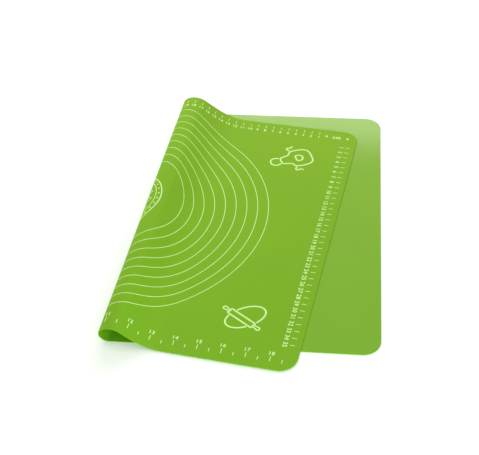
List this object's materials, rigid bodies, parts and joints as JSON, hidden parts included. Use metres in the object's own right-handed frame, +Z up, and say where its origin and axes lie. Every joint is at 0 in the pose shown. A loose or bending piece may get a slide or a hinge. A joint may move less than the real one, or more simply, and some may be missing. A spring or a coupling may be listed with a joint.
{
  "type": "silicone baking mat",
  "caption": "Thin rounded rectangular silicone baking mat, folded once into two leaves with a soft loop at the fold; it opens out flat.",
  "frame": {"origin": "middle of the lower leaf's underside, the printed face that lies on the table", "axes": "+X from the fold towards the leaves' free ends, +Y towards the back of the mat, +Z up"},
  "size_m": [0.2887, 0.438, 0.0286],
  "materials": {
    "silicone": "smooth satin silicone, opaque green",
    "print": "thin screen-printed white silicone ink, slightly see-through"
  },
  "bodies": {
    "lower_leaf": {"lower_leaf": "silicone"},
    "nose_strip_1": {"nose_strip_1": "silicone"},
    "nose_strip_2": {"nose_strip_2": "silicone"},
    "nose_strip_3": {"nose_strip_3": "silicone"},
    "nose_strip_4": {"nose_strip_4": "silicone"},
    "nose_strip_5": {"nose_strip_5": "silicone"},
    "crest_strip_1": {"crest_strip_1": "silicone"},
    "crest_strip_2": {"crest_strip_2": "silicone"},
    "crest_strip_3": {"crest_strip_3": "silicone"},
    "ramp_strip": {"ramp_strip": "silicone"},
    "landing_strip_1": {"landing_strip_1": "silicone"},
    "landing_strip_2": {"landing_strip_2": "silicone"},
    "upper_leaf": {"upper_leaf": "silicone"}
  },
  "joints": [
    {"name": "fold_line_1", "type": "hinge", "parent": "lower_leaf", "child": "nose_strip_1", "pos_m": [-0.13015, 0, 0.00035], "axis": [-0.0854, -0.9963, 0], "range_deg": [0, 15]},
    {"name": "fold_line_2", "type": "hinge", "parent": "nose_strip_1", "child": "nose_strip_2", "pos_m": [-0.13608, 0.0005, 0.00194], "axis": [-0.0818, -0.9967, -0.001], "range_deg": [0, 30]},
    {"name": "fold_line_3", "type": "hinge", "parent": "nose_strip_2", "child": "nose_strip_3", "pos_m": [-0.14042, 0.00084, 0.0063], "axis": [-0.0791, -0.9969, -0.0037], "range_deg": [0, 30]},
    {"name": "fold_line_4", "type": "hinge", "parent": "nose_strip_3", "child": "nose_strip_4", "pos_m": [-0.14201, 0.00093, 0.01225], "axis": [-0.0781, -0.9969, -0.0073], "range_deg": [0, 30]},
    {"name": "fold_line_5", "type": "hinge", "parent": "nose_strip_4", "child": "nose_strip_5", "pos_m": [-0.14043, 0.00075, 0.0182], "axis": [-0.0791, -0.9968, -0.011], "range_deg": [0, 30]},
    {"name": "fold_line_6", "type": "hinge", "parent": "nose_strip_5", "child": "crest_strip_1", "pos_m": [-0.13609, 0.00035, 0.02255], "axis": [-0.0817, -0.9966, -0.0137], "range_deg": [0, 25.6]},
    {"name": "fold_line_7", "type": "hinge", "parent": "crest_strip_1", "child": "crest_strip_2", "pos_m": [-0.12939, -0.00025, 0.02492], "axis": [-0.0859, -0.9962, -0.0152], "range_deg": [0, 21.2]},
    {"name": "fold_line_8", "type": "hinge", "parent": "crest_strip_2", "child": "crest_strip_3", "pos_m": [-0.12228, -0.00088, 0.0247], "axis": [-0.0903, -0.9958, -0.015], "range_deg": [0, 21.2]},
    {"name": "fold_line_9", "type": "hinge", "parent": "crest_strip_3", "child": "ramp_strip", "pos_m": [-0.11574, -0.00144, 0.02191], "axis": [-0.0943, -0.9955, -0.0133], "range_deg": [0, 10.6]},
    {"name": "landing_line_1", "type": "hinge", "parent": "ramp_strip", "child": "landing_strip_1", "pos_m": [-0.10145, -0.00276, 0.01238], "axis": [-0.1031, -0.9946, -0.0074], "range_deg": [-8.42, 0]},
    {"name": "landing_line_2", "type": "hinge", "parent": "landing_strip_1", "child": "landing_strip_2", "pos_m": [-0.08411, -0.00462, 0.00417], "axis": [-0.1138, -0.9935, -0.0024], "range_deg": [-16.82, 0]},
    {"name": "landing_line_3", "type": "hinge", "parent": "landing_strip_2", "child": "upper_leaf", "pos_m": [-0.06519, -0.00689, 0.00135], "axis": [-0.1255, -0.9921, -0.0006], "range_deg": [-8.43, 0]}
  ],
  "couplings": [
    {"joint": "landing_line_1", "follows": "fold_line_3", "ratio": -0.27998},
    {"joint": "landing_line_2", "follows": "fold_line_5", "ratio": -0.56019},
    {"joint": "landing_line_3", "follows": "fold_line_7", "ratio": -0.39658}
  ]
}
